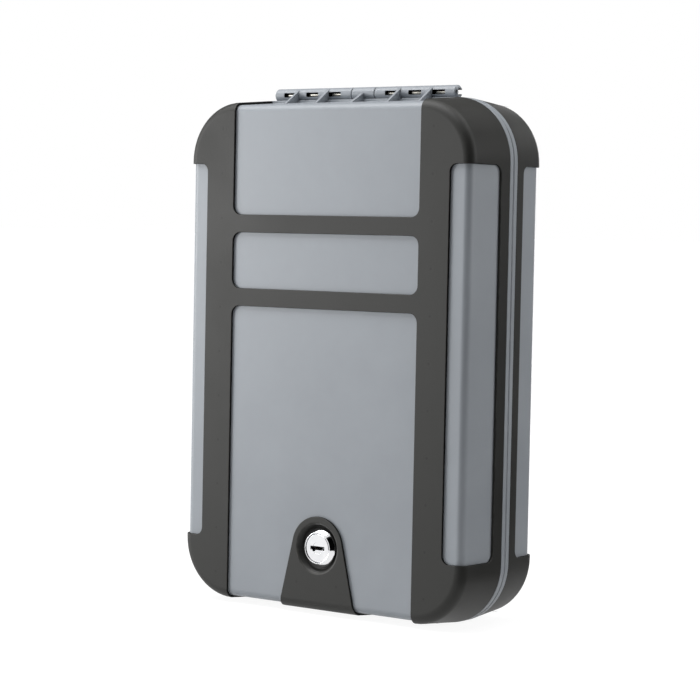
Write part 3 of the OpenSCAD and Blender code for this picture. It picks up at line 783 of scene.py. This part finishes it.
def mark_shaded_step_walls(bm):
    """Marks the narrow faces that stand upright on the front or the back, for painted shade."""
    mark = bm.faces.layers.float.new(SHADED_STEP_ATTRIBUTE)
    for face in bm.faces:
        length = sum(edge.calc_length() for edge in face.edges if is_sharp(edge)) / 2
        if abs(face.normal.y) < SIDEWAYS and face.calc_area() < length * STEP_WIDTH:
            face[mark] = 1.0


for node, name in (("front_bumper", "front_rubber"), ("back_bumper", "back_rubber")):
    bm = merged_copy(node, halved=True)
    close_short_edges(bm, RUBBER_EDGE)
    mark_shaded_step_walls(bm)
    round_edges(bm, RUBBER_EDGE, segments=3)
    hard_piece(bm, name, node, rubber)

# %% [markdown]
# The lock sits in a round dish in a tab of the same rubber. The lip of the dish is softer than the
# tab's outline, so it is rounded first, on its own, with a larger radius.

# %% Lock tab
TAB_EDGE = 0.25 * MM
DISH_R = 11.5 * MM
DISH_LIP = 0.7 * MM
ON_CIRCLE = 0.05 * MM


def from_lock_axis(point):
    """How far a point lies from the line that the lock turns about."""
    return math.hypot(point.x - lock_axis.x, point.z - lock_axis.z)


def on_dish_edge(edge):
    """True for the edges of the ring where the dish meets the tab's face."""
    return all(abs(from_lock_axis(v.co) - DISH_R) < ON_CIRCLE for v in edge.verts)


tab = merged_copy("lock_surround")
mark_shaded_step_walls(tab)
lip_edges = round_edges(tab, DISH_LIP, segments=7, keep=on_dish_edge)
round_edges(tab, TAB_EDGE, segments=3)
hard_piece(tab, "lock_tab_rubber", "lock_surround", rubber)
print("edges of the dish's lip:", lip_edges)

# %% [markdown]
# ## Lock
# The bezel and the barrel behind it are one turned, chromed piece with crisp edges.

# %% Bezel and barrel
BEZEL_EDGE = 0.05 * MM

rounded_piece("lock_housing", "lock_bezel_and_barrel", BEZEL_EDGE, chrome)

# %% [markdown]
# The plug's face has a keyway and a shallow round dimple. They could be painted dark, but they are left
# chrome: a deep, narrow slot looks black by itself, because it shows only its own unlit walls. The wafers
# seen at the bottom of the keyway are painted dark brown as shade. The plug's edges are the crispest of
# all, so they are hardly broken.

# %% Plug
PLUG_EDGE = 0.03 * MM

rounded_piece("lock_plug", "lock_plug_chromed", PLUG_EDGE, chrome)

# %% [markdown]
# Behind the front, a washer and a hexagon nut clamp the barrel, and the plug carries a stop washer and
# a cam under a screw. They are pressed or cut from plated steel, with edges broken by about a tenth of
# a millimetre.

# %% Nut, washers and cam
STEEL_EDGE = 0.12 * MM

for node in ("lock_nut", "lock_washer", "stop_washer", "lock_cam", "cam_washer", "cam_screw"):
    rounded_piece(node, node + "_plated", STEEL_EDGE, plated)

# %% [markdown]
# The cam turns behind a bent strip of the same steel, which two screws hold to the back half. The strip
# is thicker than the washers, so its edges may be a little rounder.

# %% Strike
STRIKE_EDGE = 0.15 * MM

rounded_piece("strike_plate", "strike_plate_bent", STRIKE_EDGE, plated)
rounded_piece("strike_screws", "strike_screws_plated", STEEL_EDGE, plated)

# %% [markdown]
# The wafers are stamped from thin brass, so their edges are only just broken. The springs behind them
# are fine wire with nothing to round, so they keep their solid and only take the steel's finish.

# %% Wafers and springs
WAFER_EDGE = 0.04 * MM

rounded_piece("wafers", "wafers_stamped", WAFER_EDGE, brass)
springs = frame["nodes"]["wafer_springs"].data
springs.materials.clear()
springs.materials.append(plated)

# %% [markdown]
# ## Hinge pin
# The pin is a length of drawn wire. Its ends are rounded off so that it can be pushed through the
# barrels.

# %% Hinge pin
PIN_END = 0.3 * MM

rounded_piece("hinge_pin", "hinge_pin_drawn", PIN_END, pin_steel)

# %% [markdown]
# ## Foam
# Each half is lined with a sheet of open cell foam, cut to the inside of the shell and glued down, so
# it doesn't swell as a cushion does, and a cloth simulation would add nothing. Foam has no crisp edge.
# The sheet is remeshed into small even faces, smoothed at its edges, and roughened a little by a
# cloudy texture.

# %% Foam sheets
FOAM_FACE = 1.4 * MM
FOAM_ROUGH = 0.22 * MM
FOAM_LUMP = 2.6 * MM

foam_cells = bpy.data.textures.new("foam_cells", "CLOUDS")
foam_cells.noise_scale = FOAM_LUMP
foam_cells.noise_depth = 2


def foam_sheet(node, name):
    """A foam sheet with soft edges and an uneven skin."""
    piece = finish_piece(merged_copy(node, halved=True), name, node, foam_stuff)
    even = piece.modifiers.new("even_faces", "REMESH")
    even.mode = "VOXEL"
    even.voxel_size = FOAM_FACE
    even.use_smooth_shade = True
    soft = piece.modifiers.new("soft_edges", "SMOOTH")
    soft.factor = 0.5
    soft.iterations = 3
    skin = piece.modifiers.new("uneven_skin", "DISPLACE")
    skin.texture = foam_cells
    skin.texture_coords = "LOCAL"
    skin.strength = FOAM_ROUGH
    skin.mid_level = 0.8
    print(name, "modifiers:", [m.name for m in piece.modifiers])


for node, name in (("front_foam", "front_foam_sheet"), ("back_foam", "back_foam_sheet")):
    foam_sheet(node, name)
